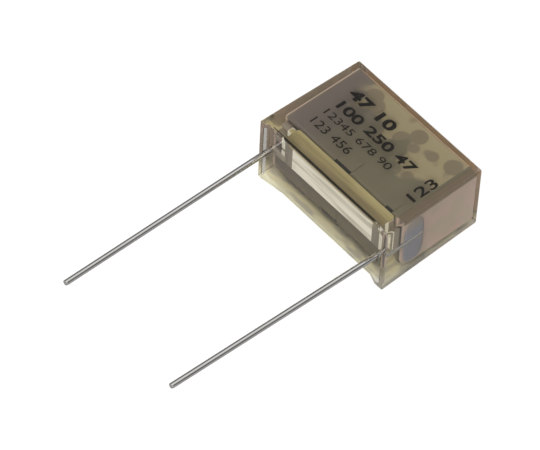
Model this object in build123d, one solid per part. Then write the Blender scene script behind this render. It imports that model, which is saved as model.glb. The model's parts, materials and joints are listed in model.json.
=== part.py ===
"""Film capacitor with a built-in series resistor, potted in a clear moulded box.

The box lies on its wide side, as it would on a bench, with both leads level.
X runs along the lead pitch, -Y is the way the leads leave, and +Z is up.
The origin is on the axis of the left lead, in the plane of the feet.
All lengths are in millimetres.
"""

from build123d import *
import os
from math import cos, radians, sin, tan

# Moulded box: its length, width and height are those of the open, lead side
CASE_LENGTH = 24.0
CASE_WIDTH = 11.3
CASE_HEIGHT = 16.5
SIDE_WALL = 0.7
CLOSED_WALL = 0.6
DRAFT_ANGLE = 1.0
CORNER_RADIUS = 0.3
INNER_RADIUS = 0.5

# Feet: the long rims are cut back between them, so that a board can be washed
FOOT_HEIGHT = 0.5
LEFT_FOOT_LENGTH = 0.7
LEFT_RAMP_LENGTH = 3.6
RIGHT_FOOT_LENGTH = 1.4
RIGHT_RAMP_LENGTH = 1.5

# Potting resin: level of its face and of its edge where it climbs the walls
RESIN_BELOW_RIM = 0.12
MENISCUS_RISE = 0.08
MENISCUS_WIDTH = 0.6
COLLAR_RADIUS = 0.95
COLLAR_RISE = 0.52
COLLAR_LIP = 0.08

# Flattened roll of metallised paper, with its axis along X
WINDING_COVER = 3.3
WINDING_END_GAP = 0.1
WINDING_LEFT_GAP = 0.35
WINDING_SIDE_GAP = 0.13
WINDING_RADIUS = 0.8
TURN_PITCH = 1.0
TURN_WIDTH = 0.5
TURN_STEP = 0.12
TURN_RINGS = 3
TURN_RADIUS = 0.4
TAB_THICKNESS = 0.22
TAB_REACH = 2.4
TAB_SPANS = ((-1.5, 1.3), (8.1, 9.3))

# Sprayed metal on both ends of the roll
CONTACT_THICKNESS = 0.45

# Round tinned copper leads, pressed flat where they are soldered inside the resin
LEAD_DIAMETER = 0.8
LEAD_FLAT_THICKNESS = 0.56
LEAD_FLAT_WIDTH = 0.94
LEAD_FLAT_RADIUS = 0.2
LEAD_LENGTH = 33.0
LEAD_RISE = 0.4
LEAD_WALL_GAP = 0.13
LEAD_TIP_CHAMFER = 0.12
RIGHT_LEAD_LEAN = 0.9
RIGHT_LEAD_BEND_RADIUS = 5.0
LEAD_ON_CONTACT = 3.4
LEFT_LEAD_END_GAP = 0.5

# Series resistor: a flat ceramic strip between the roll and the resin face
STRIP_LEFT_GAP = 1.55
STRIP_RIGHT_GAP = 0.15
STRIP_TOP_GAP = 0.6
STRIP_HEIGHT = 4.5
STRIP_THICKNESS = 0.7
STRIP_GAP = 0.6
GLAZE_THICKNESS = 0.1
GLAZE_END_MARGIN = 2.3
GLAZE_SIDE_MARGIN = 0.3
CAP_LENGTH = 1.2
CAP_THICKNESS = 0.1
CAP_SPLIT = 0.5

# Solder
SOLDER_STRIPE_LENGTH = 3.0
SOLDER_STRIPE_MARGIN = 0.55
SOLDER_STRIPE_THICKNESS = 0.3
SOLDER_MOUND_WIDTH = 2.0
SOLDER_MOUND_THICKNESS = 0.6
SOLDER_EDGE = 0.25
BRIDGE_MARGIN = 0.3
BRIDGE_OVERLAP = 0.9

# Places that follow from the sizes above
SLOPE = tan(radians(DRAFT_ANGLE))
LEAD_RADIUS = LEAD_DIAMETER / 2
CAVITY_DEPTH = CASE_HEIGHT - CLOSED_WALL
RESIN_FACE = FOOT_HEIGHT + RESIN_BELOW_RIM
RESIN_EDGE = RESIN_FACE - MENISCUS_RISE
COLLAR_TOP = RESIN_FACE - COLLAR_RISE
WINDING_FRONT = WINDING_COVER
WINDING_BACK = CAVITY_DEPTH - WINDING_END_GAP
LEAD_END = WINDING_FRONT + LEAD_ON_CONTACT
LEAD_X = CASE_LENGTH / 2 - SIDE_WALL - SLOPE * LEAD_END - LEAD_WALL_GAP - LEAD_RADIUS
CONTACT_FACE = LEAD_X - LEAD_FLAT_THICKNESS / 2
LEFT_CONTACT_FACE = SIDE_WALL + SLOPE * WINDING_BACK + WINDING_LEFT_GAP - CASE_LENGTH / 2
WINDING_ENDS = {-1: LEFT_CONTACT_FACE + CONTACT_THICKNESS, 1: CONTACT_FACE - CONTACT_THICKNESS}
WINDING_THICKNESS = CASE_WIDTH - 2 * (SIDE_WALL + SLOPE * WINDING_BACK + WINDING_SIDE_GAP)
STRIP_BACK = WINDING_FRONT - STRIP_GAP
STRIP_FRONT = STRIP_BACK - STRIP_THICKNESS
STRIP_LEFT = STRIP_LEFT_GAP - CONTACT_FACE
STRIP_RIGHT = CONTACT_FACE - STRIP_RIGHT_GAP
STRIP_TOP = CASE_WIDTH / 2 - SIDE_WALL - STRIP_TOP_GAP
STRIP_SPAN = (STRIP_TOP - STRIP_HEIGHT, STRIP_TOP)
STRIP_MIDDLE = STRIP_TOP - STRIP_HEIGHT / 2
FRAME_ORIGIN = Vector(-LEAD_X, 0, LEAD_RISE)


def rim_plane(y):
    """Plane across the box at height y, whose normal points to the closed end."""
    return Plane(origin=(0, y, 0), x_dir=(1, 0, 0), z_dir=(0, 1, 0))


def roll_plane(x):
    """Plane across the roll at x, whose normal points along +X."""
    return Plane(origin=(x, 0, 0), x_dir=(0, 1, 0), z_dir=(1, 0, 0))


def block(x_span, y_span, z_span):
    """Plain block between two values on each axis."""
    size = [span[1] - span[0] for span in (x_span, y_span, z_span)]
    centre = [(span[1] + span[0]) / 2 for span in (x_span, y_span, z_span)]
    return Pos(*centre) * Box(*size)


def soft_block(x_span, y_span, z_span):
    """Block with all its edges broken, as solder leaves them."""
    body = block(x_span, y_span, z_span)
    return chamfer(body.edges(), SOLDER_EDGE)


def tapered_block(length, width, height, radius):
    """Drafted block from the rim plane to the closed end, rounded all over but its rim."""
    body = block((-length / 2, length / 2), (0, height), (-width / 2, width / 2))
    lean = (cos(radians(DRAFT_ANGLE)), sin(radians(DRAFT_ANGLE)))
    for side in (-1, 1):
        end_wall = Plane(origin=(side * length / 2, 0, 0), z_dir=(side * lean[0], lean[1], 0))
        long_wall = Plane(origin=(0, 0, side * width / 2), z_dir=(0, lean[1], side * lean[0]))
        body = split(body, bisect_by=end_wall, keep=Keep.BOTTOM)
        body = split(body, bisect_by=long_wall, keep=Keep.BOTTOM)
    rim = body.faces().sort_by(Axis.Y)[0].edges()
    return fillet([edge for edge in body.edges() if edge not in rim], radius)


def make_cavity():
    """Inside of the box, filled: the space that the walls leave."""
    length = CASE_LENGTH - 2 * SIDE_WALL
    width = CASE_WIDTH - 2 * SIDE_WALL
    return tapered_block(length, width, CAVITY_DEPTH, INNER_RADIUS)


def make_rim_cut():
    """Prism that cuts both long rims back between the feet."""
    left = -CASE_LENGTH / 2 + LEFT_FOOT_LENGTH
    right = CASE_LENGTH / 2 - RIGHT_FOOT_LENGTH
    outline = Polyline(
        (left, -FOOT_HEIGHT),
        (left, 0),
        (left + LEFT_RAMP_LENGTH, FOOT_HEIGHT),
        (right - RIGHT_RAMP_LENGTH, FOOT_HEIGHT),
        (right, 0),
        (right, -FOOT_HEIGHT),
        close=True,
    )
    return extrude(make_face(outline), amount=CASE_WIDTH, both=True)


def make_case(cavity):
    """Moulded box, open at the lead side, with draft on every wall and four feet."""
    body = tapered_block(CASE_LENGTH, CASE_WIDTH, CASE_HEIGHT, CORNER_RADIUS)
    return body - cavity - make_rim_cut()


def winding_section(x, inset=0.0):
    """Outline of the flattened roll at x, drawn in by an inset."""
    depth = WINDING_BACK - WINDING_FRONT - 2 * inset
    middle = (WINDING_BACK + WINDING_FRONT) / 2
    radius = max(WINDING_RADIUS - inset, TURN_RADIUS)
    outline = RectangleRounded(depth, WINDING_THICKNESS - 2 * inset, radius)
    return roll_plane(x) * Pos(middle, 0) * outline


def make_turns(side):
    """Groups of turns that stand proud on one end of the roll."""
    start = WINDING_ENDS[side]
    turns = []
    for ring in range(TURN_RINGS):
        inset = TURN_PITCH * (ring + 0.5)
        band = winding_section(start, inset) - winding_section(start, inset + TURN_WIDTH)
        turns.append(extrude(band, amount=TURN_STEP * side))
    return turns


def make_tab(span):
    """Tab of the outer paper, glued round the front of the roll to close it."""
    wrap = winding_section(span[0], -TAB_THICKNESS) - winding_section(span[0])
    body = extrude(wrap, amount=span[1] - span[0])
    reach = (WINDING_FRONT - 2 * TAB_THICKNESS, WINDING_FRONT + TAB_REACH)
    return body & block((span[0], span[1]), reach, (-CASE_WIDTH, CASE_WIDTH))


def make_winding():
    """Flattened roll of metallised paper with its closing tabs and proud turns."""
    left, right = WINDING_ENDS[-1], WINDING_ENDS[1]
    body = extrude(winding_section(left), amount=right - left)
    for side in (-1, 1):
        for turn in make_turns(side):
            body += turn
    for span in TAB_SPANS:
        body += make_tab(span)
    return body


def make_end_contact(side, winding):
    """Sprayed metal that fills the grooves between the turns on one end."""
    section = winding_section(WINDING_ENDS[side])
    return extrude(section, amount=CONTACT_THICKNESS * side) - winding


def make_lead(x, inner_end, lean, bend_radius):
    """Round wire that leaves the resin, with a flat end inside the box."""
    start = Plane(origin=(x, COLLAR_TOP, LEAD_RISE), x_dir=(1, 0, 0), z_dir=(0, -1, 0))
    flat = RectangleRounded(LEAD_FLAT_THICKNESS, LEAD_FLAT_WIDTH, LEAD_FLAT_RADIUS)
    flat_end = extrude(start * flat, amount=COLLAR_TOP - inner_end)
    tip_point = (x - lean, -LEAD_LENGTH, LEAD_RISE)
    if lean:
        path = FilletPolyline(start.origin, (x, 0, LEAD_RISE), tip_point, radius=bend_radius)
    else:
        path = Line(start.origin, tip_point)
    wire = sweep(start * Circle(LEAD_RADIUS), path=path)
    tip = wire.faces().sort_by(Axis.Y)[0].edges()
    return flat_end + chamfer(tip, LEAD_TIP_CHAMFER)


def make_left_lead():
    """Straight lead that ends beside the resistor strip."""
    return make_lead(-LEAD_X, WINDING_FRONT - LEFT_LEAD_END_GAP, 0, 0)


def make_right_lead():
    """Lead that lies on the sprayed contact and leans in a little outside the box."""
    return make_lead(LEAD_X, LEAD_END, RIGHT_LEAD_LEAN, RIGHT_LEAD_BEND_RADIUS)


def make_series_resistor():
    """Ceramic strip with a glazed resistive track raised on its front."""
    low, high = STRIP_SPAN
    strip = block((STRIP_LEFT, STRIP_RIGHT), (STRIP_FRONT, STRIP_BACK), STRIP_SPAN)
    glaze = block(
        (STRIP_LEFT + GLAZE_END_MARGIN, STRIP_RIGHT - GLAZE_END_MARGIN),
        (STRIP_FRONT - GLAZE_THICKNESS, STRIP_FRONT),
        (low + GLAZE_SIDE_MARGIN, high - GLAZE_SIDE_MARGIN),
    )
    return strip + glaze


def make_cap(x_end, side, z_span, strip):
    """Silvered wrap on one end of the strip, between two heights."""
    across = sorted((x_end + side * CAP_THICKNESS, x_end - side * CAP_LENGTH))
    depth = (STRIP_FRONT - CAP_THICKNESS, STRIP_BACK + CAP_THICKNESS)
    return block(across, depth, z_span) - strip


def make_caps(strip):
    """Two silvered terminals at the left end, and the turning bar at the right."""
    lower = (STRIP_SPAN[0], STRIP_MIDDLE - CAP_SPLIT / 2)
    upper = (STRIP_MIDDLE + CAP_SPLIT / 2, STRIP_TOP)
    return {
        "resistor_terminal_lower": make_cap(STRIP_LEFT, -1, lower, strip),
        "resistor_terminal_upper": make_cap(STRIP_LEFT, -1, upper, strip),
        "resistor_turning_bar": make_cap(STRIP_RIGHT, 1, STRIP_SPAN, strip),
    }


def make_lead_bridge(neighbours):
    """Solder from the end of the left lead to the lower terminal of the strip."""
    inner_end = WINDING_FRONT - LEFT_LEAD_END_GAP
    body = soft_block(
        (-LEAD_X - LEAD_RADIUS / 2, STRIP_LEFT + BRIDGE_OVERLAP),
        (STRIP_FRONT - BRIDGE_MARGIN, inner_end + BRIDGE_MARGIN / 2),
        (LEAD_RISE - LEAD_RADIUS - BRIDGE_MARGIN, LEAD_RISE + LEAD_RADIUS + BRIDGE_MARGIN),
    )
    return subtract_all(body, neighbours)


def make_contact_bridge(neighbours):
    """Solder from the upper terminal of the strip to the left sprayed contact."""
    low = STRIP_MIDDLE + CAP_SPLIT
    body = soft_block(
        (LEFT_CONTACT_FACE + CAP_THICKNESS, STRIP_LEFT + BRIDGE_OVERLAP),
        (STRIP_FRONT + BRIDGE_MARGIN / 2, WINDING_FRONT + 2 * BRIDGE_MARGIN),
        (low, low + SOLDER_MOUND_WIDTH / 2),
    )
    return subtract_all(body, neighbours)


def make_right_solder(neighbours):
    """Tinned stripe across the right contact, with a mound over the lead."""
    along = (LEAD_END - SOLDER_STRIPE_LENGTH, LEAD_END + BRIDGE_MARGIN)
    half = WINDING_THICKNESS / 2 - SOLDER_STRIPE_MARGIN
    stripe = block((CONTACT_FACE, CONTACT_FACE + SOLDER_STRIPE_THICKNESS), along, (-half, half))
    mound = block(
        (CONTACT_FACE, CONTACT_FACE + SOLDER_MOUND_THICKNESS),
        along,
        (LEAD_RISE - SOLDER_MOUND_WIDTH / 2, LEAD_RISE + SOLDER_MOUND_WIDTH / 2),
    )
    mound = chamfer(mound.faces().sort_by(Axis.X)[-1].edges(), SOLDER_EDGE)
    stripe = chamfer(stripe.faces().sort_by(Axis.X)[-1].edges(), SOLDER_EDGE)
    return subtract_all(stripe + mound, neighbours)


def subtract_all(body, others):
    """Body without the room that its neighbours take."""
    for other in others:
        body -= other
    return body


def make_resin_dish():
    """Space above the resin: its face is low in the middle and climbs the walls."""
    length = CASE_LENGTH - 2 * SIDE_WALL - 2 * SLOPE * RESIN_EDGE
    width = CASE_WIDTH - 2 * SIDE_WALL - 2 * SLOPE * RESIN_EDGE
    edge = rim_plane(RESIN_EDGE) * Rectangle(length, width)
    face = rim_plane(RESIN_FACE) * Rectangle(length - 2 * MENISCUS_WIDTH, width - 2 * MENISCUS_WIDTH)
    mouth = block((-CASE_LENGTH, CASE_LENGTH), (-CASE_HEIGHT, RESIN_EDGE), (-CASE_WIDTH, CASE_WIDTH))
    return loft([edge.face(), face.face()], ruled=True) + mouth


def make_collar(x):
    """Small cone of resin that climbs a lead."""
    place = Plane(origin=(x, RESIN_FACE, LEAD_RISE), x_dir=(1, 0, 0), z_dir=(0, -1, 0))
    on_face = (Align.CENTER, Align.CENTER, Align.MIN)
    return place * Cone(COLLAR_RADIUS, LEAD_RADIUS + COLLAR_LIP, COLLAR_RISE, align=on_face)


def make_potting_resin(cavity, inner_pieces):
    """Clear cast resin that fills the box round everything inside it."""
    body = cavity - make_resin_dish()
    for x in (-LEAD_X, LEAD_X):
        body += make_collar(x) & cavity
    return body - inner_pieces


def make_pieces():
    """All the pieces, by the name of their file."""
    cavity = make_cavity()
    winding = make_winding()
    pieces = {
        "winding": winding,
        "end_contact_left": make_end_contact(-1, winding),
        "end_contact_right": make_end_contact(1, winding),
        "lead_left": make_left_lead(),
        "lead_right": make_right_lead(),
        "series_resistor": make_series_resistor(),
    }
    pieces.update(make_caps(pieces["series_resistor"]))
    solid_neighbours = list(pieces.values())
    pieces["solder_lead_left"] = make_lead_bridge(solid_neighbours)
    pieces["solder_contact_left"] = make_contact_bridge(solid_neighbours)
    pieces["solder_lead_right"] = make_right_solder(solid_neighbours)
    pieces["potting_resin"] = make_potting_resin(cavity, list(pieces.values()))
    pieces["case"] = make_case(cavity)
    return pieces


os.makedirs("parts", exist_ok=True)
for name, piece in make_pieces().items():
    export_step(piece.moved(Location(-FRAME_ORIGIN)), f"parts/{name}.step")
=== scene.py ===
"""Looks of a film capacitor with a built-in series resistor, potted in a clear moulded box.

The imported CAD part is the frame. Each operator models one piece, or one group of like pieces,
in metres in that frame, and the last one sets the stage. X runs along the lead pitch, -Y is
the way the leads leave, +Z is up, and the origin is on the left lead in the plane of the feet.
"""

import json
from functools import partial
from math import cos, hypot, pi, radians, sin, tan

import bmesh
import bpy
from bpy.props import FloatProperty, FloatVectorProperty, IntProperty, PointerProperty
from bpy.types import Operator, Panel, PropertyGroup
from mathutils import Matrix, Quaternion, Vector

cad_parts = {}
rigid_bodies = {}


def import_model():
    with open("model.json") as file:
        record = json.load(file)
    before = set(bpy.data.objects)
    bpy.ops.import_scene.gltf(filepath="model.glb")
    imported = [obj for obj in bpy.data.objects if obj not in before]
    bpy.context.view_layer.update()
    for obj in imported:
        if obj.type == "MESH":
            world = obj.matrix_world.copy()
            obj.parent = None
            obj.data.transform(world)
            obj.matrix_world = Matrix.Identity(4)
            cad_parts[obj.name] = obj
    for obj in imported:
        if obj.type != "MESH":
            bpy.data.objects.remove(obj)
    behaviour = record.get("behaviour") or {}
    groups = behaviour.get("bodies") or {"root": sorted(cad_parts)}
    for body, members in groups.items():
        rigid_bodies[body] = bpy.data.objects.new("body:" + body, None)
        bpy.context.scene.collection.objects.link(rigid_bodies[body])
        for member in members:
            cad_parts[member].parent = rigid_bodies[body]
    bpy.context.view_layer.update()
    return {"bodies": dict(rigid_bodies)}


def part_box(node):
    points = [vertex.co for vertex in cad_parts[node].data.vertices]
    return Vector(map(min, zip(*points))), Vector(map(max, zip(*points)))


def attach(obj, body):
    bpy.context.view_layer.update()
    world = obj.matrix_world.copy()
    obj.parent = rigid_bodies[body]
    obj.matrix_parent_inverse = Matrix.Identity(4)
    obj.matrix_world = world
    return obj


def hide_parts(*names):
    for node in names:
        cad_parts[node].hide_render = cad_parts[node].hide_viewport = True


bl_info = {
    "name": "Potted film capacitor",
    "version": (1, 0, 0),
    "blender": (4, 5, 0),
    "location": "3D View > Sidebar > Capacitor",
    "description": "Models the looks of a potted film capacitor around its CAD frame",
    "category": "Add Mesh",
}

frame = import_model()
(BODY,) = frame["bodies"]  # the part has no joints, so "root" is its only body

MM = 0.001
TOUCH = 0.01 * MM  # two places that are closer than this count as one

CASE_LOW, CASE_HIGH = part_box("case")
CENTRE = (CASE_LOW + CASE_HIGH) / 2
LENGTH, THICKNESS = CASE_HIGH.x - CASE_LOW.x, CASE_HIGH.z - CASE_LOW.z
LEFT_END_LOW, LEFT_END_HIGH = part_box("end_contact_left")
RIGHT_END_LOW, RIGHT_END_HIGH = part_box("end_contact_right")
STRIP_LOW, STRIP_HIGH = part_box("series_resistor")
STRIP_X = (STRIP_LOW.x + STRIP_HIGH.x) / 2
LEFT_LEAD_LOW, LEFT_LEAD_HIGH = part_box("lead_left")
RIGHT_LEAD_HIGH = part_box("lead_right")[1]
LEAD_RADIUS = LEFT_LEAD_HIGH.x
RIGHT_LEAD_X = RIGHT_LEAD_HIGH.x - LEAD_RADIUS
ROLL_FRONT = LEFT_END_LOW.y


def linear(hex_colour):
    """Linear red, green and blue of an sRGB colour written as six hex digits."""
    values = [int(hex_colour[i : i + 2], 16) / 255 for i in (0, 2, 4)]
    return [v / 12.92 if v <= 0.04045 else ((v + 0.055) / 1.055) ** 2.4 for v in values]


def length(name, description, default_mm):
    """Length property with its default in millimetres."""
    return FloatProperty(name=name, description=description, default=default_mm * MM, unit="LENGTH")


def angle(name, description, degrees):
    """Angle property with its default in degrees."""
    return FloatProperty(
        name=name, description=description, default=radians(degrees), unit="ROTATION"
    )


def share(name, description, default):
    """Plain property between 0 and 1."""
    return FloatProperty(name=name, description=description, default=default, min=0, max=1)


def colour(name, description, hex_colour):
    """Colour property with its default as an sRGB hex value."""
    return FloatVectorProperty(
        name=name, description=description, default=linear(hex_colour), subtype="COLOR", min=0,
        max=1,
    )


class MouldedBoxSizes(PropertyGroup):
    """Sizes of the clear box and of the resin in it."""

    draft: angle("Draft", "Lean of every wall towards the closed end", 1)
    side_wall: length("Side wall", "Thickness of the side walls at the rim", 0.7)
    corner_radius: length("Corner radius", "Radius of the outer edges", 0.3)
    inner_radius: length("Inner radius", "Radius of the upright corners inside", 0.5)
    rim_break: length("Rim break", "Bevel on the edges of the rim", 0.06)
    foot_height: length("Foot height", "Depth to which the long rims are cut back", 0.5)
    left_foot: length("Left foot", "Length of the feet at the left end", 0.7)
    left_ramp: length("Left ramp", "Length of the slope beside the left feet", 3.6)
    right_foot: length("Right foot", "Length of the feet at the right end", 1.4)
    right_ramp: length("Right ramp", "Length of the slope beside the right feet", 1.5)
    resin_depth: length("Resin depth", "Depth of the resin's face below the feet", 0.62)
    meniscus_rise: length("Meniscus rise", "Height that the resin climbs the walls", 0.09)
    meniscus_width: length("Meniscus width", "Width over which it climbs", 0.7)
    collar_rise: length("Collar rise", "Height that the resin climbs a lead", 0.5)
    collar_width: length("Collar width", "Width over which it climbs a lead", 0.75)
    resin: colour("Resin", "Colour of the resin and the box in depth", "E6DCBC")
    resin_density: FloatProperty(
        name="Resin density", description="How fast the resin takes its colour, per metre",
        default=110.0,
    )
    face_low: length("Face, low", "Height over a rough face at which it is still rough", 0.05)
    face_high: length("Face, high", "Height over a rough face at which it is clear", 0.2)
    frost: share("Frost", "Roughness of the eroded wide side that the box lies on", 0.45)
    end_frost: share("End frost", "Roughness of the left end of the box", 0.2)
    frosted: colour("Frosted side", "Colour of the eroded side", "FCF9DC")
    milkiness: share("Milkiness", "How much light the eroded side scatters", 0.95)
    polish: share("Polish", "Share of that light left at the right end", 0.25)
    # Painted shade: a dark line along the groove between the upper rim and the resin, where the
    # rim's inner face shows dark
    groove: colour("Groove", "Dust in the groove between box and resin", "1E180E")
    groove_middle: length("Groove middle", "Depth of the dust below the foot's slope", 0.03)
    groove_half: length("Groove half-width", "Half the width of the line of dust", 0.07)
    groove_reach: length("Groove reach", "Half the length of the line of dust", 10)


class WindingSizes(PropertyGroup):
    """Sizes and colours of the roll of metallised paper and its sprayed ends."""

    edge_radius: length("Edge radius", "Radius of the roll's long edges", 0.5)
    left_shift: length("Left shift", "How far the left end lies towards the wall", 0.33)
    back_shift: length("Back shift", "How far the roll reaches towards the closed wall", 0.25)
    fold_radius: length("Fold radius", "Radius of the lower front fold of the roll", 2.2)
    tab_thickness: length("Tab thickness", "Thickness of the closing tabs", 0.2)
    tab_reach: length("Tab reach", "How far the tabs reach round the roll", 2.4)
    first_tab: length("First tab", "Middle of the wide tab, off the box's middle", -0.1)
    first_half: length("Wide tab", "Half the width of the wide tab", 1.4)
    second_tab: length("Second tab", "Middle of the narrow tab, off the box's middle", 8.7)
    second_half: length("Narrow tab", "Half the width of the narrow tab", 0.6)
    sprayed_edge: length("Sprayed edge", "Bevel on the rim of the sprayed metal", 0.15)
    paper: colour("Paper", "Metallised paper", "6E6753")
    paper_left: colour("Paper, left", "Metallised paper near the left end", "6C625C")
    oiled: colour("Oiled paper", "Paper where the oil has soaked in", "A09473")
    bubble: colour("Bubbles", "Dry rounds within the oiled paper", "786C57")
    # Painted shadow: a dark band under the folded edges of the closing tabs, and where it lies
    # behind the roll's front
    tab_shadow: colour("Crease", "Folded edge of the closing tabs", "0C0905")
    tab_shadow_middle: length("Crease middle", "Middle of the dark fold, behind the front", 0.12)
    tab_shadow_half: length("Crease half-width", "Half the width of the dark fold", 0.19)
    bare_rim: length("Bare rim", "Sprayed metal that the paper leaves bare on top", 0.25)
    # Light kraft colour of the closed end: partly the bare paper, partly painted light on the back
    # of the roll
    lit_kraft: colour("Plain paper", "Bare kraft paper at the closed end", "C4A484")
    sprayed: colour("Sprayed metal", "Metal sprayed on the ends of the roll", "A99C8C")
    sprayed_pink: colour("Sprayed metal, pink", "Warmer clouds in the sprayed metal", "B39C92")


class ResistorSizes(PropertyGroup):
    """Sizes and colours of the resistor strip and its terminals."""

    glaze_end: length("Glaze end margin", "Bare ceramic at each end of the track", 2.3)
    glaze_side: length("Glaze side margin", "Bare ceramic beside the track", 0.3)
    glaze_rise: length("Glaze rise", "Thickness of the glazed track", 0.1)
    edge_break: length("Edge break", "Bevel on the ceramic's edges", 0.06)
    track_half: length("Track half-length", "Half the length of the printed track", 7.6)
    thin_half: length("Thin silver", "Half the length over which the silver is thin", 9)
    # The upper edge's darker, yellower streaks: partly a flux stain, partly painted shade
    shade_low: length("Stain, low", "Where the stain starts, below the upper edge", 0.9)
    shade_high: length("Stain, high", "Where the stain is full, below the upper edge", 0.3)
    ceramic: colour("Ceramic", "Fired ceramic of the strip", "F4F0E6")
    track: colour("Track", "Streaks of the resistive track", "C0BBAC")
    shaded_upper_edge: colour("Upper edge", "Flux-stained upper edge of the strip", "B5A673")
    shade_streaks: colour("Stain", "Streaks in the stained edge", "6E6140")
    silver: colour("Silver", "Silvered terminals", "E6E2D6")
    dull_silver: colour("Dull silver", "Thin silver next to the track", "857E70")
    tarnished: colour("Tarnished silver", "Silver on the ends of the strip", "8E8474")
    # A half-clear sheet of painted shade over the strip and past the roll's right end: its place,
    # size and colours
    film_start: length("Film start", "Left end of the film over the strip", 2.6)
    film_mouth: length("Film mouth", "Front edge of the film over the strip", 0.75)
    film_gap: length("Film gap", "Space between that film and the roll", 0.25)
    side_width: length("Side film width", "Width of the film past the right end", 1.1)
    film_depth: length("Film depth", "Depth of the film below the top of the box", 0.83)
    film_corner: length("Film corner", "Radius of the film's corners", 0.35)
    film_thickness: length("Film thickness", "Thickness of the film", 0.06)
    film_clear: share("Film clearness", "How much light the film lets through", 0.25)
    shade_front: colour("Film, front", "Colour of the film at the mouth", "6A5C38")
    shade_back: colour("Film, back", "Colour of the film at the roll", "B3A777")
    shade_side: colour("Film, side", "Colour of the film past the right end", "5E503D")


class LeadSizes(PropertyGroup):
    """Sizes and colours of the leads and the solder."""

    facets: IntProperty(name="Facets", description="Sides of the round wire", default=32)
    flat_thickness: length("Flat thickness", "Thickness of the pressed end", 0.56)
    flat_width: length("Flat width", "Width of the pressed end", 0.94)
    flat_start: length("Flat start", "Depth at which the pressed end starts", 0.7)
    flat_ramp: length("Flat ramp", "Length over which the wire is pressed flat", 0.5)
    tip_round: length("Tip round", "Bevel left by the shear on the tip", 0.08)
    tip_shear: angle("Tip shear", "Slant of the sheared tip", 12)
    lean: length("Lean", "How far the right lead's tip leans in", 0.9)
    tin: colour("Tin", "Tinned copper of the leads", "DDDBD8")
    solder: colour("Solder", "Solder inside the box", "92939F")
    solder_left: colour("Solder, left", "Flux-covered solder at the strip", "A39A8C")
    solder_upper: colour("Solder, upper", "Thin solder on the sprayed metal", "A09588")
    solder_depth: length("Solder depth", "Thickness of the stripe on the right end", 0.48)


class PrintSizes(PropertyGroup):
    """Sizes and colour of the stamped figures."""

    ink: colour("Ink", "Stamping ink", "120E08")
    thickness: length("Ink thickness", "Height of the ink above the box", 0.012)


class StageSettings(PropertyGroup):
    """Camera, light and floor."""

    azimuth: angle("Azimuth", "Camera's angle round the object, 0 looks along +Y", 46.7317)
    elevation: angle("Elevation", "Camera's angle above the horizon", 51.9974)
    roll: angle("Roll", "Camera's turn about its own axis", 3.1082)
    distance: FloatProperty(
        name="Distance", description="From the camera to the point it looks at", default=0.54933,
        unit="LENGTH",
    )
    aim: FloatVectorProperty(
        name="Aim", description="Point in the middle of the picture",
        default=(0.0059692, -0.0042522, -0.0056624), subtype="TRANSLATION",
    )
    lens: FloatProperty(
        name="Lens", description="Focal length in millimetres, on a 36 mm sensor", default=287.53
    )
    floor: colour("Floor", "White card under the object", "F4F4F2")
    lit_share: share("Lit share", "Part of the card's white that is left to the lamp", 0.25)
    lamp_place: FloatVectorProperty(
        name="Lamp place", description="Middle of the soft lamp", default=(0.3, -0.36, 0.45),
        subtype="TRANSLATION",
    )
    lamp_size: FloatVectorProperty(
        name="Lamp size", description="Width and height of the soft lamp", size=2,
        default=(0.5, 0.4), unit="LENGTH",
    )
    lamp_power: FloatProperty(
        name="Lamp power", description="Power of the soft lamp", default=2.25, unit="POWER"
    )
    fill: share("Fill", "Light from all sides", 0.87)


def place(x, y, z):
    """Point in the frame, x and z from the middle of the box and y from its rim."""
    return Vector((CENTRE.x + x, y, CENTRE.z + z))


def deselect():
    """Deselect every object, so that the next operator acts on its own alone."""
    bpy.ops.object.select_all(action="DESELECT")


def make_active(piece):
    """Select one object alone and make it the active one."""
    deselect()
    piece.select_set(True)
    bpy.context.view_layer.objects.active = piece


def settle(piece):
    """Move the object's place, turn and size into its mesh."""
    make_active(piece)
    bpy.ops.object.transform_apply(location=True, rotation=True, scale=True)


def new_piece(name):
    """The object that was just added, with its name, and its place in its mesh."""
    piece = bpy.context.object
    piece.name = piece.data.name = name
    settle(piece)
    return piece


def add_block(name, low, high):
    """Block between two corners, the start of a piece."""
    low, high = Vector(low), Vector(high)
    deselect()
    bpy.ops.mesh.primitive_cube_add(size=1, location=(low + high) / 2, scale=high - low)
    return new_piece(name)


def start_edit(piece):
    """Enter edit mode with nothing selected."""
    make_active(piece)
    bpy.ops.object.mode_set(mode="EDIT")
    bpy.ops.mesh.select_all(action="DESELECT")


def end_edit():
    """Return to object mode."""
    bpy.ops.object.mode_set(mode="OBJECT")


def middle(part):
    """Middle of a bmesh face, edge or vertex."""
    points = [point.co for point in getattr(part, "verts", [part])]
    return sum(points, Vector()) / len(points)


def pick(kind, test):
    """In edit mode, select only what passes the test: faces, edges or vertices.

    The kind is FACE, EDGE or VERT, and the test is given the part and its middle.
    """
    bpy.ops.mesh.select_mode(type=kind)
    bpy.ops.mesh.select_all(action="DESELECT")
    mesh = bpy.context.object.data
    shape = bmesh.from_edit_mesh(mesh)
    for part in {"FACE": shape.faces, "EDGE": shape.edges, "VERT": shape.verts}[kind]:
        if test(part, middle(part)):
            part.select_set(True)
    if kind == "VERT":
        shape.select_flush(True)
    bmesh.update_edit_mesh(mesh)


def round_picked(radius, segments):
    """In edit mode, round or break the selected edges."""
    bpy.ops.mesh.bevel(offset=radius, segments=segments, affect="EDGES")


def slice_at(axis, *places):
    """In edit mode, add edges all round at places along an axis, given as its index."""
    normal = Vector()
    normal[axis] = 1
    for spot in places:
        bpy.ops.mesh.select_all(action="SELECT")
        bpy.ops.mesh.bisect(plane_co=normal * spot, plane_no=normal)


def runs_along(edge, axis):
    """True for an edge that is parallel to an axis, given as its index."""
    run = edge.verts[1].co - edge.verts[0].co
    return abs(run[axis]) > 0.99 * run.length


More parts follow.
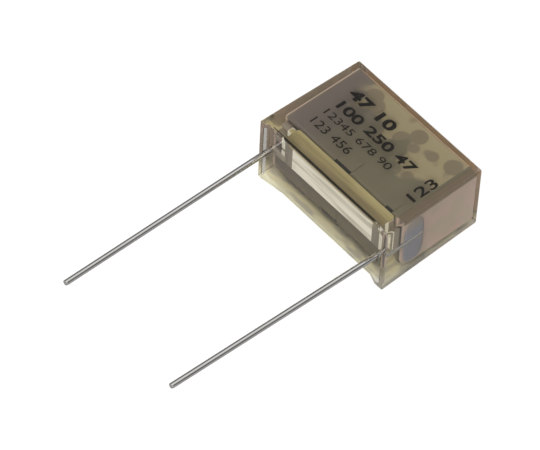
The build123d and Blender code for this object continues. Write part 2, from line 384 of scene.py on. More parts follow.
def outward(piece):
    """Turn all faces of a closed piece outwards."""
    start_edit(piece)
    bpy.ops.mesh.select_all(action="SELECT")
    bpy.ops.mesh.normals_make_consistent(inside=False)
    end_edit()


def apply_modifier(piece, kind, **settings):
    """Add a modifier with its settings and apply it."""
    make_active(piece)
    modifier = piece.modifiers.new(kind.lower(), kind)
    for key, value in settings.items():
        setattr(modifier, key, value)
    bpy.ops.object.modifier_apply(modifier=modifier.name)


def cut(piece, cutter, operation="DIFFERENCE"):
    """Boolean of one piece with another, which is then removed."""
    apply_modifier(piece, "BOOLEAN", operation=operation, solver="EXACT", object=cutter)
    bpy.data.objects.remove(cutter)


def break_edges(piece, width):
    """Bevel every edge of a piece that is sharper than 30 degrees."""
    apply_modifier(piece, "BEVEL", width=width, segments=2)


def finish_shading(piece, limit=35):
    """Smooth small faces, keep large ones flat, and keep edges over a limit in degrees sharp."""
    make_active(piece)
    bpy.ops.object.shade_smooth_by_angle(angle=radians(limit))
    apply_modifier(piece, "WEIGHTED_NORMAL", keep_sharp=True, weight=100)


def dress(piece, material, slot, *nodes):
    """Give a finished piece its material and body, and hide the CAD nodes that it stands for. The
    slot is not used.
    """
    piece.data.materials.clear()
    piece.data.materials.append(material)
    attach(piece, BODY)
    if nodes:
        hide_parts(*nodes)


def add_node(tree, kind, settings=None, *values, **links):
    """Shader node with its settings, whose open sockets are filled in order, then by name.

    A setting names a node's own attribute. In a link's name _ stands for a space. A socket takes
    a value or another node's socket, and a node stands for its first open output.
    """
    node = tree.nodes.new("ShaderNode" + kind)
    for key, value in (settings or {}).items():
        setattr(node, key, value)
    fills = list(zip([socket for socket in node.inputs if socket.enabled], values))
    fills += [(node.inputs[key.replace("_", " ")], value) for key, value in links.items()]
    for socket, value in fills:
        if isinstance(value, bpy.types.Node):
            value = next(output for output in value.outputs if output.enabled)
        if isinstance(value, bpy.types.NodeSocket):
            tree.links.new(value, socket)
        else:
            socket.default_value = (*value[:3], 1) if socket.type == "RGBA" else value
    return node


def start_nodes(owner):
    """Empty the node tree of a material or a world, and return add_node for that tree."""
    owner.use_nodes = True
    owner.node_tree.nodes.clear()
    return partial(add_node, owner.node_tree)


def new_material(name):
    """Node material, add_node for its tree, and the point on the object that patterns read."""
    material = bpy.data.materials.new(name)
    add = start_nodes(material)
    return material, add, add("TexCoord").outputs["Object"]


def per_mm(size):
    """Texture scale at which one feature is about this many millimetres."""
    return 1 / (size * MM)


# Settings of nodes. In a MapRange the two numbers after a noise or cells are the span of their
# value over which a pattern sets in, and the next two are its strength before and after that.
BLEND = {"data_type": "RGBA"}
SMOOTH = {"interpolation_type": "SMOOTHSTEP"}
TIMES, TIMES_PLUS, LARGER, MINUS, WITHIN, ABOVE, BELOW = (
    {"operation": name} for name in (
        "MULTIPLY", "MULTIPLY_ADD", "MAXIMUM", "SUBTRACT", "COMPARE", "GREATER_THAN", "LESS_THAN",
    )
)


def clear_resin(box):
    """Material of the box and the resin in it, which have one index and show no seam.

    Moulded polycarbonate and cast epoxy: glossy, faintly wavy and scuffed, amber in depth. The
    wide side that it lies on comes from an eroded mould face and is milky, less so at its right
    end. The left end is a little rough, and a dark, opaque line along the groove by the upper rim
    is painted shade, standing for the dark that the rim's inner face shows there.
    """
    material, add, spot = new_material("clear_amber_epoxy")
    axes = add("SeparateXYZ", None, spot).outputs
    waves = add("TexNoise", Vector=spot, Scale=per_mm(3.0), Detail=2.0)
    bump = add("Bump", Strength=0.05, Distance=0.05 * MM, Height=waves)
    fine = add("TexNoise", Vector=spot, Scale=per_mm(0.6), Detail=4.0)
    roughness = add("MapRange", SMOOTH, fine, 0.55, 0.8, 0.01, 0.06)
    for axis, face, rough in (("X", CASE_LOW.x, box.end_frost), ("Z", CASE_LOW.z, box.frost)):
        depth = add("Math", TIMES_PLUS, axes["Y"], -tan(box.draft), axes[axis])
        frost = add("MapRange", None, depth, face + box.face_low, face + box.face_high, rough, 0.0)
        roughness = add("Math", LARGER, roughness, frost)
    # The wide side's frost, the last of the two, is milky in patches as well
    patches = add("TexNoise", Vector=spot, Scale=per_mm(3.5), Detail=1.0)
    milk = add("MapRange", SMOOTH, patches, 0.36, 0.52, 1.3, box.milkiness / box.frost)
    polish = add(
        "MapRange", SMOOTH, axes["X"], RIGHT_END_LOW.x - 1 * MM, CASE_HIGH.x - 1 * MM, 1.0,
        box.polish,
    )
    milk = add("Math", TIMES, milk, frost)
    milk = add("Math", TIMES, milk, polish)
    shade = add("Mix", BLEND, milk, (1, 1, 1), box.frosted)
    # Painted shade: a dark, opaque line along the groove by the upper rim, where the rim's inner
    # face shows dark
    along_rim = add("Math", WITHIN, axes["Y"], box.foot_height + box.groove_middle, box.groove_half)
    at_top = add("Math", ABOVE, axes["Z"], CASE_HIGH.z - box.side_wall * 0.7)
    amid = add("Math", WITHIN, axes["X"], CENTRE.x, box.groove_reach)
    groove_shade = add("Math", TIMES, along_rim, at_top)
    groove_shade = add("Math", TIMES, groove_shade, amid)
    shade = add("Mix", BLEND, groove_shade, shade, box.groove)
    blocked = add("Math", LARGER, milk, groove_shade)
    clear = add("Math", MINUS, 1.0, blocked)
    roughness = add("Math", LARGER, roughness, groove_shade)
    glass = add(
        "BsdfPrincipled", Base_Color=shade, Transmission_Weight=clear, IOR=1.55,
        Roughness=roughness, Normal=bump,
    )
    let_through = add("BsdfTransparent")
    shadow = add("LightPath").outputs["Is Shadow Ray"]
    surface = add("MixShader", None, shadow, glass, let_through)
    depth = add("VolumeAbsorption", Color=box.resin, Density=box.resin_density)
    add("OutputMaterial", Surface=surface, Volume=depth)
    return material


def metallised_paper(winding):
    """Zinc a few hundredths of a micron thick, evaporated on oiled paper.

    Dull grey-brown, warmer at the left, with khaki areas where the oil has soaked in and darker
    dry rounds within them. A painted shadow darkens the front edge where the tabs fold over, the
    closed end is a light kraft colour that is partly the bare paper and partly painted light on the
    back of the roll, and a fine grain of fibres runs round the roll.
    """
    material, add, spot = new_material("metallised_paper")
    axes = add("SeparateXYZ", None, spot).outputs
    rightness = add("MapRange", SMOOTH, axes["X"], 0.0, 11 * MM)
    base = add("Mix", BLEND, rightness, winding.paper_left, winding.paper)
    reach = add("TexNoise", Vector=spot, Scale=per_mm(4.5), Detail=1.5)
    for axis, rise in (("Y", 0.05 / MM), ("X", 0.008 / MM)):
        reach = add("Math", TIMES_PLUS, axes[axis], rise, reach)
    deep = add("MapRange", SMOOTH, reach, 1.1, 1.2, 0.0, 0.9)
    past = add("MapRange", SMOOTH, axes["X"], 1.5 * MM, 4 * MM)
    soaked = add("Math", TIMES, deep, past)
    cells = add(
        "TexVoronoi", {"feature": "SMOOTH_F1"}, Vector=spot, Scale=per_mm(2.6), Smoothness=0.2,
        Randomness=0.9,
    )
    rounds = add("MapRange", SMOOTH, cells, 0.44, 0.54, 0.85, 0.0)
    inside = add("Mix", BLEND, rounds, winding.oiled, winding.bubble)
    shade = add("Mix", BLEND, soaked, base, inside)
    # The closed end is a light kraft colour: partly the bare paper, partly painted light on the
    # back of the roll and its top edge
    back = LEFT_END_HIGH.y + winding.back_shift
    lit_closed_end = add("MapRange", None, axes["Y"], back - 0.35 * MM, back - 0.15 * MM, 0.0, 0.8)
    shade = add("Mix", BLEND, lit_closed_end, shade, winding.lit_kraft)
    tabs = [
        add("Math", WITHIN, axes["X"], (start + end) / 2, (end - start) / 2)
        for start, end in tab_spans(winding)
    ]
    # Painted shadow under the edges of the closing tabs: a dark band along the roll's front where
    # the tabs lie
    tab = add("Math", LARGER, *tabs)
    fold = add("Math", WITHIN, axes["Y"], ROLL_FRONT + winding.tab_shadow_middle, winding.tab_shadow_half)
    tab_shadow = add("Math", TIMES, tab, fold)
    shade = add("Mix", BLEND, tab_shadow, shade, winding.tab_shadow)
    across = add("Mapping", Vector=spot, Scale=(1, 0.25, 1))
    fibres = add("TexNoise", Vector=across, Scale=per_mm(0.25), Detail=3.0)
    bump = add("Bump", Strength=0.06, Distance=0.02 * MM, Height=fibres)
    paper = add("BsdfPrincipled", Base_Color=shade, Roughness=0.5, Metallic=0.1, Normal=bump)
    add("OutputMaterial", Surface=paper)
    return material


def sprayed_metal(winding):
    """Zinc sprayed by an arc gun: matt, faintly grainy, with soft pinkish clouds.

    The paper is wrapped over its upper edge, all but the outermost rim of the left end.
    """
    material, add, spot = new_material("sprayed_zinc")
    axes = add("SeparateXYZ", None, spot).outputs
    clouds = add("TexNoise", Vector=spot, Scale=per_mm(3.5), Detail=2.0)
    warmth = add("MapRange", SMOOTH, clouds, 0.4, 0.62)
    shade = add("Mix", BLEND, warmth, winding.sprayed, winding.sprayed_pink)
    top = RIGHT_END_HIGH.z
    on_top = add("MapRange", None, axes["Z"], top - 0.4 * MM, top - winding.bare_rim)
    rim = LEFT_END_LOW.x - winding.left_shift + winding.bare_rim
    off_end = add("Math", ABOVE, axes["X"], rim)
    wrapped = add("Math", TIMES, on_top, off_end)
    shade = add("Mix", BLEND, wrapped, shade, winding.paper)
    grain = add("TexNoise", Vector=spot, Scale=per_mm(0.2), Detail=3.0)
    bump = add("Bump", Strength=0.15, Distance=0.03 * MM, Height=grain)
    coat = add("BsdfPrincipled", Base_Color=shade, Roughness=0.7, Normal=bump)
    add("OutputMaterial", Surface=coat)
    return material


def glazed_ceramic(resistor):
    """Fired alumina with a glazed, screen-printed track: off-white, streaked along the strip.

    Thin silver covers it beyond the track, and its upper edge is darker and yellower in streaks,
    partly a flux stain and partly painted shade.
    """
    material, add, spot = new_material("glazed_alumina")
    axes = add("SeparateXYZ", None, spot).outputs
    along = add("Mapping", Vector=spot, Scale=(0.06, 1, 1))
    streaks = add("TexNoise", Vector=along, Scale=per_mm(0.8), Detail=3.0)
    printed = add("MapRange", SMOOTH, streaks, 0.44, 0.66, 0.0, 0.9)
    shade = add("Mix", BLEND, printed, resistor.ceramic, resistor.track)
    shaded_edge = add("Mix", BLEND, printed, resistor.shaded_upper_edge, resistor.shade_streaks)
    on_track = add("Math", WITHIN, axes["X"], STRIP_X, resistor.track_half)
    shade = add("Mix", BLEND, on_track, resistor.dull_silver, shade)
    # Upper edge darker and yellower in streaks: partly a flux stain, partly painted shade
    top = STRIP_HIGH.z
    upper = add("MapRange", SMOOTH, axes["Z"], top - resistor.shade_low, top - resistor.shade_high)
    shade = add("Mix", BLEND, upper, shade, shaded_edge)
    grain = add("TexNoise", Vector=spot, Scale=per_mm(0.2), Detail=2.0)
    bump = add("Bump", Strength=0.15, Distance=0.02 * MM, Height=grain)
    glaze = add("BsdfPrincipled", Base_Color=shade, Roughness=0.35, Normal=bump)
    add("OutputMaterial", Surface=glaze)
    return material


def shade_film(resistor):
    """Half-clear amber sheet of painted shade over the strip, drawn out in streaks.

    It paints the shade and deeper amber of the long light paths through the resin, darker towards
    the mouth of the box and past the roll's right end, and lets the lamp's light through.
    """
    material, add, spot = new_material("amber_shade_film")
    axes = add("SeparateXYZ", None, spot).outputs
    along = add("Mapping", Vector=spot, Scale=(0.05, 1, 1))
    streaks = add("TexNoise", Vector=along, Scale=per_mm(0.5), Detail=3.0)
    depth = add("Math", TIMES_PLUS, streaks, 2.2 * MM, axes["Y"])
    inward = add("MapRange", SMOOTH, depth, 2 * MM, 4.6 * MM)
    # Painted shade: darker towards the mouth of the box and past the roll's right end
    shade = add("Mix", BLEND, inward, resistor.shade_front, resistor.shade_back)
    at_side = add("Math", ABOVE, axes["X"], RIGHT_END_HIGH.x + TOUCH)
    shade = add("Mix", BLEND, at_side, shade, resistor.shade_side)
    skin = add("BsdfPrincipled", Base_Color=shade, Roughness=0.5)
    clear = add("BsdfTransparent")
    shadow = add("LightPath").outputs["Is Shadow Ray"]
    let_through = add("Math", LARGER, shadow, resistor.film_clear)
    surface = add("MixShader", None, let_through, skin, clear)
    add("OutputMaterial", Surface=surface)
    return material


def fired_silver(resistor):
    """Silver paste, dipped and fired: a satin white metal with small dull pits.

    It is thin and dull next to the track, and tarnished where it wraps the strip's right end.
    """
    material, add, spot = new_material("fired_silver")
    axes = add("SeparateXYZ", None, spot).outputs
    thin = add("Math", WITHIN, axes["X"], STRIP_X, resistor.thin_half)
    shade = add("Mix", BLEND, thin, resistor.silver, resistor.dull_silver)
    past_strip = add("Math", ABOVE, axes["X"], STRIP_HIGH.x + 4 * TOUCH)
    shade = add("Mix", BLEND, past_strip, shade, resistor.tarnished)
    pits = add("TexNoise", Vector=spot, Scale=per_mm(0.3), Detail=3.0)
    bump = add("Bump", Strength=0.2, Distance=0.01 * MM, Height=pits)
    paste = add("BsdfPrincipled", Base_Color=shade, Roughness=0.45, Metallic=0.3, Normal=bump)
    add("OutputMaterial", Surface=paste)
    return material


def tin_lead_solder(leads):
    """Solder that set slowly under the iron: soft bluish grey with wide, faint frosting.

    Flux has yellowed it at the left, and it thins out over the sprayed metal.
    """
    material, add, spot = new_material("tin_lead_solder")
    axes = add("SeparateXYZ", None, spot).outputs
    at_right = add("Math", ABOVE, axes["X"], CENTRE.x)
    shade = add("Mix", BLEND, at_right, leads.solder_left, leads.solder)
    upper = add("MapRange", SMOOTH, axes["Z"], 1.2 * MM, 3.2 * MM, 0.0, 0.8)
    shade = add("Mix", BLEND, upper, shade, leads.solder_upper)
    frosting = add("TexNoise", Vector=spot, Scale=per_mm(1.5), Detail=1.0)
    gloss = add("MapRange", None, frosting, 0.3, 0.7, 0.4, 0.6)
    alloy = add("BsdfPrincipled", Base_Color=shade, Roughness=gloss, Metallic=0.6)
    add("OutputMaterial", Surface=alloy)
    return material


def tinned_copper(leads):
    """Hot-tinned copper wire: bright, with long faint draw lines along the wire."""
    material, add, spot = new_material("tinned_copper")
    along = add("Mapping", Vector=spot, Scale=(1, 0.05, 1))
    lines = add("TexNoise", Vector=along, Scale=per_mm(0.3), Detail=3.0)
    darker = [0.75 * value for value in leads.tin]
    shade = add("Mix", BLEND, lines, darker, leads.tin)
    gloss = add("MapRange", None, lines, 0.3, 0.7, 0.08, 0.18)
    bump = add("Bump", Strength=0.2, Distance=0.01 * MM, Height=lines)
    tin = add("BsdfPrincipled", Base_Color=shade, Roughness=gloss, Metallic=1.0, Normal=bump)
    add("OutputMaterial", Surface=tin)
    return material


def stamping_ink(marks):
    """Rubber-stamped ink: matt brown-black, thinner in spots where the pad pressed less."""
    material, add, spot = new_material("stamping_ink")
    press = add("TexNoise", Vector=spot, Scale=per_mm(0.5), Detail=3.0)
    thin = add("MapRange", SMOOTH, press, 0.5, 0.75, 0.0, 0.5)
    lighter = [5 * value for value in marks.ink]
    shade = add("Mix", BLEND, thin, marks.ink, lighter)
    ink = add("BsdfPrincipled", Base_Color=shade, Roughness=0.9)
    add("OutputMaterial", Surface=ink)
    return material


def drafted_block(name, box, across, along, near, far, radius, segments):
    """Block that narrows with the draft, with rounded edges except at its near end."""
    corner = across / 2, along / 2
    piece = add_block(name, place(-corner[0], near, -corner[1]), place(corner[0], far, corner[1]))
    shrink = 2 * tan(box.draft) * (far - near)
    start_edit(piece)
    pick("FACE", lambda face, spot: face.normal.y > 0.9)
    bpy.ops.transform.resize(
        value=(1 - shrink / across, 1, 1 - shrink / along), center_override=place(0, far, 0)
    )
    pick("EDGE", lambda edge, spot: spot.y > near + TOUCH)
    round_picked(radius, segments)
    end_edit()
    return piece


def rim_cutter(box):
    """Prism that cuts the long rims back between the feet."""
    left, right = box.left_foot - LENGTH / 2, LENGTH / 2 - box.right_foot
    piece = add_block(
        "rim_cutter", place(left, -2 * MM, -THICKNESS), place(right, box.foot_height, THICKNESS)
    )
    start_edit(piece)
    slice_at(1, 0)
    for side, ramp in ((-1, box.left_ramp), (1, box.right_ramp)):
        pick("VERT", lambda point, spot: (
            spot.y > box.foot_height / 2 and (spot.x - CENTRE.x) * side > 0
        ))
        bpy.ops.transform.translate(value=(-side * ramp, 0, 0))
    end_edit()
    return piece


def air_above_resin(box):
    """Solid of air in the mouth of the box, with the resin's face as its floor."""
    margin = 0.12 * MM  # how far the face is drawn into the walls
    roof = -1.5 * MM  # height of the flat end outside the box
    inset = 2 * (box.side_wall + tan(box.draft) * box.resin_depth - margin)
    across, along = LENGTH - inset, THICKNESS - inset
    deselect()
    # Cells of about a quarter of a millimetre
    bpy.ops.mesh.primitive_grid_add(
        x_subdivisions=95, y_subdivisions=42, size=1, location=place(0, box.resin_depth, 0),
        rotation=(pi / 2, 0, 0), scale=(across, along, 1),
    )
    piece = new_piece("air_above_resin")
    start_edit(piece)

    def off_lead(spot):
        return min(hypot(spot.x - x, spot.z) for x in (0.0, RIGHT_LEAD_X))

    def off_wall(spot):
        return min(across / 2 - abs(spot.x - CENTRE.x), along / 2 - abs(spot.z - CENTRE.z))

    pick("FACE", lambda face, spot: off_lead(spot) < 2 * box.collar_width)
    bpy.ops.mesh.subdivide(number_cuts=2)
    # The resin climbs the walls as a meniscus, and the leads as collars
    for off, near, rise, width in (
        (off_wall, TOUCH, box.meniscus_rise, box.meniscus_width),
        (off_lead, LEAD_RADIUS + 3 * TOUCH, box.collar_rise, box.collar_width),
    ):
        pick("VERT", lambda point, spot: off(spot) < near)
        bpy.ops.transform.translate(
            value=(0, -rise, 0), use_proportional_edit=True, proportional_size=width,
            proportional_edit_falloff="SHARP",
        )
    pick("EDGE", lambda edge, spot: edge.is_boundary)
    bpy.ops.mesh.extrude_region_move(TRANSFORM_OT_translate={"value": (0, 2 * roof, 0)})
    bpy.ops.transform.resize(value=(1, 0, 1), center_override=place(0, roof, 0))
    bpy.ops.mesh.edge_face_add()
    end_edit()
    outward(piece)
    near, far = -1 * MM, 4 * MM
    inset = 2 * (box.side_wall + tan(box.draft) * near)
    mouth = drafted_block(
        "mouth", box, LENGTH - inset, THICKNESS - inset, near, far, box.inner_radius, 6
    )
    cut(piece, mouth, "INTERSECT")
    return piece


class FILMCAP_OT_moulded_box(Operator):
    """Model the clear box and its resin as one clear piece"""

    bl_idname = "film_capacitor.moulded_box"
    bl_label = "Moulded box"

    def execute(self, context):
        box = context.scene.moulded_box
        piece = drafted_block(
            "moulded_box", box, LENGTH, THICKNESS, 0.0, CASE_HIGH.y, box.corner_radius, 4
        )
        cut(piece, air_above_resin(box))
        cut(piece, rim_cutter(box))
        outward(piece)
        start_edit(piece)
        pick("EDGE", lambda edge, spot: (
            edge.is_manifold and edge.is_convex and edge.calc_face_angle(0) > radians(60)
            and spot.y < box.foot_height + TOUCH / 10
        ))
        round_picked(box.rim_break, 2)
        end_edit()
        finish_shading(piece)
        dress(piece, clear_resin(box), "case_plastic", "case", "potting_resin")
        return {"FINISHED"}


def round_roll(winding):
    """In edit mode, round the long edges of the roll, its lower front fold most."""

    def lower_front(spot):
        return spot.y < CENTRE.y and spot.z < CENTRE.z

    pick("EDGE", lambda edge, spot: runs_along(edge, 0) and lower_front(spot))
    round_picked(winding.fold_radius, 16)
    pick("EDGE", lambda edge, spot: (
        runs_along(edge, 0) and not lower_front(spot) and edge.calc_face_angle(0) > radians(80)
    ))
    round_picked(winding.edge_radius, 8)


def tab_spans(winding):
    """Both ends, along X, of each closing tab."""
    tabs = ((winding.first_tab, winding.first_half), (winding.second_tab, winding.second_half))
    return [(CENTRE.x + centre - half, CENTRE.x + centre + half) for centre, half in tabs]


class FILMCAP_OT_winding(Operator):
    """Model the flattened roll of metallised paper with its tabs"""

    bl_idname = "film_capacitor.winding"
    bl_label = "Winding"

    def execute(self, context):
        winding = context.scene.winding
        piece = add_block(
            "paper_roll",
            (LEFT_END_HIGH.x - winding.left_shift, LEFT_END_LOW.y, LEFT_END_LOW.z),
            (RIGHT_END_LOW.x, RIGHT_END_HIGH.y + winding.back_shift, RIGHT_END_HIGH.z),
        )
        start_edit(piece)
        round_roll(winding)
        end_edit()
        self.raise_tabs(piece, winding)
        finish_shading(piece, 30)
        dress(piece, metallised_paper(winding), "metallised_paper", "winding")
        return {"FINISHED"}

    def raise_tabs(self, piece, winding):
        """Thicken the paper round the front where the closing tabs lie."""
        spans = tab_spans(winding)
        behind = ROLL_FRONT + winding.tab_reach
        start_edit(piece)
        slice_at(0, *(x for span in spans for x in span))
        slice_at(1, behind)
        for start, end in spans:
            pick("FACE", lambda face, spot: (
                start < spot.x < end and spot.y < behind and abs(face.normal.x) < 0.5
            ))
            bpy.ops.mesh.extrude_region_shrink_fatten(TRANSFORM_OT_shrink_fatten={
                "value": winding.tab_thickness, "use_even_offset": False,
            })
        end_edit()


class FILMCAP_OT_sprayed_ends(Operator):
    """Model the sprayed metal on both ends of the roll"""

    bl_idname = "film_capacitor.sprayed_ends"
    bl_label = "Sprayed ends"

    def execute(self, context):
        winding = context.scene.winding
        material = sprayed_metal(winding)
        for side, name in ((-1, "left"), (1, "right")):
            node = "end_contact_" + name
            low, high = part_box(node)
            high.y += winding.back_shift
            if side < 0:
                low.x, high.x = low.x - winding.left_shift, high.x - winding.left_shift
            piece = add_block("sprayed_end_" + name, low, high)
            start_edit(piece)
            round_roll(winding)
            pick("EDGE", lambda edge, spot: (
                (spot.x - (low.x + high.x) / 2) * side > 0 and not runs_along(edge, 0)
            ))
            round_picked(winding.sprayed_edge, 3)
            end_edit()
            finish_shading(piece, 40)
            dress(piece, material, "sprayed_metal", node)
        return {"FINISHED"}


class FILMCAP_OT_resistor(Operator):
    """Model the ceramic resistor strip and its silvered terminals"""

    bl_idname = "film_capacitor.resistor"
    bl_label = "Resistor"

    def execute(self, context):
        resistor = context.scene.resistor
        low, high = STRIP_LOW.copy(), STRIP_HIGH.copy()
        low.y += resistor.glaze_rise
        ends = (low.x + resistor.glaze_end, high.x - resistor.glaze_end)
        piece = add_block("resistor_strip", low, high)
        start_edit(piece)
        slice_at(0, *ends)
        pick("FACE", lambda face, spot: face.normal.y < -0.9 and ends[0] < spot.x < ends[1])
        bpy.ops.mesh.inset(thickness=resistor.glaze_side)
        bpy.ops.mesh.extrude_region_move(
            TRANSFORM_OT_translate={"value": (0, -resistor.glaze_rise, 0)}
        )
        end_edit()
        break_edges(piece, resistor.edge_break)
        finish_shading(piece)
        dress(piece, glazed_ceramic(resistor), "resistor_ceramic", "series_resistor")
        silver = fired_silver(resistor)
        room = Vector((0, 0, 1 * MM))  # lets the cutter reach past the strip's long edges
        for node in ("resistor_terminal_lower", "resistor_terminal_upper", "resistor_turning_bar"):
            cap = add_block("silver" + node.removeprefix("resistor"), *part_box(node))
            cut(cap, add_block("strip_room", low - room, high + room))
            break_edges(cap, resistor.edge_break / 2)
            finish_shading(cap)
            dress(cap, silver, "silver_terminal", node)
        return {"FINISHED"}


class FILMCAP_OT_film(Operator):
    """Model the half-clear sheets of painted shade over the strip and past the roll's right end"""

    bl_idname = "film_capacitor.film"
    bl_label = "Shade film"

    def execute(self, context):
        resistor = context.scene.resistor
        material = shade_film(resistor)
        top = CASE_HIGH.z - resistor.film_depth
        past = RIGHT_END_HIGH.x + 5 * TOUCH
        back = ROLL_FRONT - resistor.film_gap
        # Left, near, right and far edge
        films = (
            ("front", resistor.film_start, resistor.film_mouth, STRIP_HIGH.x, back),
            ("side", past, ROLL_FRONT, past + resistor.side_width, LEFT_END_HIGH.y - 10 * TOUCH),
        )
        for name, left, near, right, far in films:
            piece = add_block(
                "shade_film_" + name, (left, near, top - resistor.film_thickness),
                (right, far, top),
            )
            start_edit(piece)
            pick("EDGE", lambda edge, spot: runs_along(edge, 2))
            round_picked(resistor.film_corner, 6)
            end_edit()
            break_edges(piece, resistor.film_thickness / 4)
            finish_shading(piece)
            dress(piece, material, "potting_resin")
        return {"FINISHED"}


class FILMCAP_OT_solder(Operator):
    """Model the solder joints as soft lumps"""

    bl_idname = "film_capacitor.solder"
    bl_label = "Solder"

    def execute(self, context):
        leads = context.scene.leads
        material = tin_lead_solder(leads)
        for node in ("solder_lead_left", "solder_contact_left", "solder_lead_right"):
            low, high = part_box(node)
            high.x = min(high.x, RIGHT_END_HIGH.x + leads.solder_depth)
            piece = add_block(node + "_joint", low, high)
            start_edit(piece)
            bpy.ops.mesh.select_all(action="SELECT")
            bpy.ops.mesh.subdivide(number_cuts=1)
            end_edit()
            apply_modifier(piece, "SUBSURF", levels=3, render_levels=3)
            bpy.ops.object.shade_smooth()
            dress(piece, material, "solder", node)
        return {"FINISHED"}


class FILMCAP_OT_leads(Operator):
    """Model both leads as round drawn wires with sheared tips"""

    bl_idname = "film_capacitor.leads"
    bl_label = "Leads"

    def execute(self, context):
        leads = context.scene.leads
        material = tinned_copper(leads)
        for name, x, high, lean in (
            ("left", 0.0, LEFT_LEAD_HIGH, 0.0),
            ("right", RIGHT_LEAD_X, RIGHT_LEAD_HIGH, leads.lean),
        ):
            piece = self.make_wire("wire_" + name, leads, x, high.y, LEFT_LEAD_LOW.y, lean)
            dress(piece, material, "tinned_copper", "lead_" + name)
        return {"FINISHED"}

    def make_wire(self, name, leads, x, inner, tip, lean):
        """Round wire along Y, pressed flat at its inner end and sheared at its tip."""
        deselect()
        bpy.ops.mesh.primitive_cylinder_add(
            vertices=leads.facets, radius=LEAD_RADIUS, depth=inner - tip,
            location=(x, (inner + tip) / 2, 0), rotation=(pi / 2, 0, 0),
        )
        piece = new_piece(name)
        start_edit(piece)
        flat = leads.flat_start + leads.flat_ramp
        slice_at(1, 0, leads.flat_start, flat)
        pick("VERT", lambda point, spot: spot.y > flat - TOUCH)
        pressed = leads.flat_thickness / (2 * LEAD_RADIUS), 1, leads.flat_width / (2 * LEAD_RADIUS)
        bpy.ops.transform.resize(value=pressed, center_override=(x, inner, 0))
        if lean:
            pick("VERT", lambda point, spot: spot.y < tip / 2)
            bpy.ops.transform.translate(value=(-lean, 0, 0))
        bpy.ops.mesh.select_all(action="SELECT")
        bpy.ops.mesh.bisect(
            plane_co=(x - lean, tip + LEAD_RADIUS * tan(leads.tip_shear), 0),
            plane_no=(sin(leads.tip_shear), -cos(leads.tip_shear), 0), clear_outer=True,
            use_fill=True,
        )
        pick("FACE", lambda face, spot: spot.y < tip / 2 and face.normal.y < -0.5)
        round_picked(leads.tip_round, 2)
        end_edit()
        finish_shading(piece, 40)
        return piece


class FILMCAP_OT_figures(Operator):
    """Stamp plain figures on the wide side of the box"""

    bl_idname = "film_capacitor.figures"
    bl_label = "Stamped figures"

    def execute(self, context):
        marks = context.scene.figures
        draft = context.scene.moulded_box.draft
        material = stamping_ink(marks)
        cap_height = 0.7  # height of a figure as a share of the font's size
        # Left end, baseline, width and height in mm, turn in degrees, and boldness in mm
        rows = (
            ("figures_1", "47 10", 2.4, 11.45, 8.1, 1.8, 0, 0.1),
            ("figures_2", "100 250 47", 2.3, 8.95, 14.2, 1.6, 0, 0.06),
            ("figures_3", "12345 678 90", 2.2, 7.0, 12.2, 1.15, 0, 0.0),
            ("figures_4", "123 456", 2.2, 4.7, 7.1, 1.35, 0, 0.0),
            ("figures_5", "123", 20.8, 5.5, 4.4, 1.6, 90, 0.03),
        )
        for name, text, left, base, width, height, turn, bold in rows:
            deselect()
            bpy.ops.object.text_add()
            stamp = bpy.context.object.data
            stamp.body = text
            stamp.size = height * MM / cap_height
            stamp.offset = bold * MM
            stamp.extrude = marks.thickness / 2
            bpy.ops.object.convert(target="MESH")
            piece = new_piece(name)
            piece.dimensions = (width * MM, height * MM, marks.thickness)
            settle(piece)
            for axis, lean in (("Z", -radians(turn)), ("X", draft)):
                bpy.ops.transform.rotate(value=lean, orient_axis=axis, center_override=(0, 0, 0))
            top = CASE_HIGH.z - tan(draft) * base * MM
            bpy.ops.transform.translate(value=(left * MM, base * MM, top))
            settle(piece)
            dress(piece, material, "case_plastic")
        return {"FINISHED"}


def seen_directly(add):
    """Nodes that give 1 on rays seen by clear or shiny things alone, and on camera rays."""
    path = add("LightPath").outputs
    camera = seen = path["Is Camera Ray"]
    for ray in ("Is Glossy Ray", "Is Transmission Ray"):
        seen = add("Math", LARGER, seen, path[ray])
    before_matt = add("Math", BELOW, path["Diffuse Depth"], 0.5)
    return add("Math", TIMES, seen, before_matt), camera


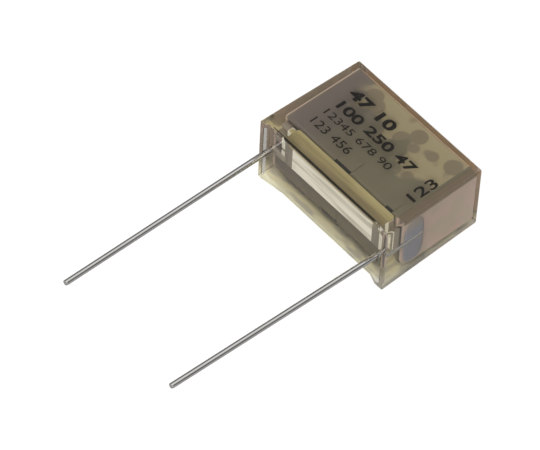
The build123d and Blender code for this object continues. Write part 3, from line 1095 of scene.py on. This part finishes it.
class FILMCAP_OT_stage(Operator):
    """Set the floor, the soft light, the white surround and the camera"""

    bl_idname = "film_capacitor.stage"
    bl_label = "Stage"

    def execute(self, context):
        stage = context.scene.stage
        self.lay_floor(stage)
        self.light(stage)
        self.surround(context, stage)
        self.place_camera(context, stage)
        context.scene.view_settings.view_transform = "Standard"
        return {"FINISHED"}

    def lay_floor(self, stage):
        """White card whose own white shows, with a part left to the light for the shadow."""
        deselect()
        bpy.ops.mesh.primitive_plane_add(size=6, location=(CENTRE.x, 0, CASE_LOW.z))
        floor = bpy.context.object
        floor.name = "floor"
        material = bpy.data.materials.new("white_card")
        add = start_nodes(material)
        seen, camera = seen_directly(add)
        lit_part = [stage.lit_share] * 3
        lit = add("Mix", BLEND, seen, stage.floor, lit_part)
        lit = add("Mix", BLEND, camera, lit, lit_part)
        card = add("BsdfDiffuse", Color=lit)
        # The card glows at 0.8 for the camera and at 0.2 in what shines
        level = add("Math", TIMES_PLUS, camera, 0.6, 0.2)
        level = add("Math", TIMES, level, seen)
        glow = add("Emission", Color=(1, 1, 1), Strength=level)
        shown = add("AddShader", None, card, glow)
        add("OutputMaterial", Surface=shown)
        floor.data.materials.append(material)

    def light(self, stage):
        """One wide soft lamp overhead, towards the camera's side."""
        bpy.ops.object.light_add(type="AREA", location=stage.lamp_place)
        lamp = bpy.context.object
        lamp.name = "soft_lamp"
        lamp.data.shape = "RECTANGLE"
        lamp.data.size, lamp.data.size_y = stage.lamp_size
        lamp.data.energy = stage.lamp_power
        aim = CENTRE - lamp.location
        lamp.rotation_euler = aim.to_track_quat("-Z", "Y").to_euler()

    def surround(self, context, stage):
        """Pale room, white overhead and darker towards the horizon in what shines."""
        world = bpy.data.worlds.new("pale_surround")
        context.scene.world = world
        add = start_nodes(world)
        heading = add("TexCoord").outputs["Generated"]
        height = add("SeparateXYZ", None, heading).outputs["Z"]
        rise = add("MapRange", SMOOTH, height, 0.72, 0.88, 0.2, 1.0)
        seen, camera = seen_directly(add)
        level = add("Math", LARGER, rise, camera)
        white = add("Background", Color=(1, 1, 1), Strength=level)
        fill = add("Background", Color=(1, 1, 1), Strength=stage.fill)
        room = add("MixShader", None, seen, fill, white)
        add("OutputWorld", Surface=room)

    def place_camera(self, context, stage):
        """Camera at the photograph's angle."""
        flat = cos(stage.elevation)
        back = Vector((
            sin(stage.azimuth) * flat, -cos(stage.azimuth) * flat, sin(stage.elevation)
        ))
        aim = Vector(stage.aim)
        bpy.ops.object.camera_add(location=aim + back * stage.distance)
        camera = bpy.context.object
        camera.rotation_mode = "QUATERNION"
        level = (-back).to_track_quat("-Z", "Y")
        camera.rotation_quaternion = Quaternion(back, stage.roll) @ level
        camera.data.lens = stage.lens
        camera.data.sensor_width = 36
        camera.data.clip_start, camera.data.clip_end = 0.01, 20
        context.scene.camera = camera


SETTINGS = {
    "moulded_box": MouldedBoxSizes,
    "winding": WindingSizes,
    "resistor": ResistorSizes,
    "leads": LeadSizes,
    "figures": PrintSizes,
    "stage": StageSettings,
}
OPERATORS = (
    FILMCAP_OT_moulded_box,
    FILMCAP_OT_winding,
    FILMCAP_OT_sprayed_ends,
    FILMCAP_OT_resistor,
    FILMCAP_OT_film,
    FILMCAP_OT_solder,
    FILMCAP_OT_leads,
    FILMCAP_OT_figures,
    FILMCAP_OT_stage,
)


class FILMCAP_PT_panel(Panel):
    """Buttons that model the capacitor piece by piece"""

    bl_label = "Potted film capacitor"
    bl_space_type = "VIEW_3D"
    bl_region_type = "UI"
    bl_category = "Capacitor"

    def draw(self, context):
        for operator in OPERATORS:
            self.layout.operator(operator.bl_idname)


def register():
    """Register the settings, the operators and the panel."""
    for kind in (*SETTINGS.values(), *OPERATORS, FILMCAP_PT_panel):
        bpy.utils.register_class(kind)
    for name, kind in SETTINGS.items():
        setattr(bpy.types.Scene, name, PointerProperty(type=kind))


def unregister():
    """Undo what register does."""
    for name in SETTINGS:
        delattr(bpy.types.Scene, name)
    for kind in (FILMCAP_PT_panel, *reversed(OPERATORS), *SETTINGS.values()):
        bpy.utils.unregister_class(kind)


def main():
    """Model every piece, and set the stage."""
    register()
    for operator in OPERATORS:
        group, name = operator.bl_idname.split(".")
        getattr(getattr(bpy.ops, group), name)()


if __name__ == "__main__":
    main()
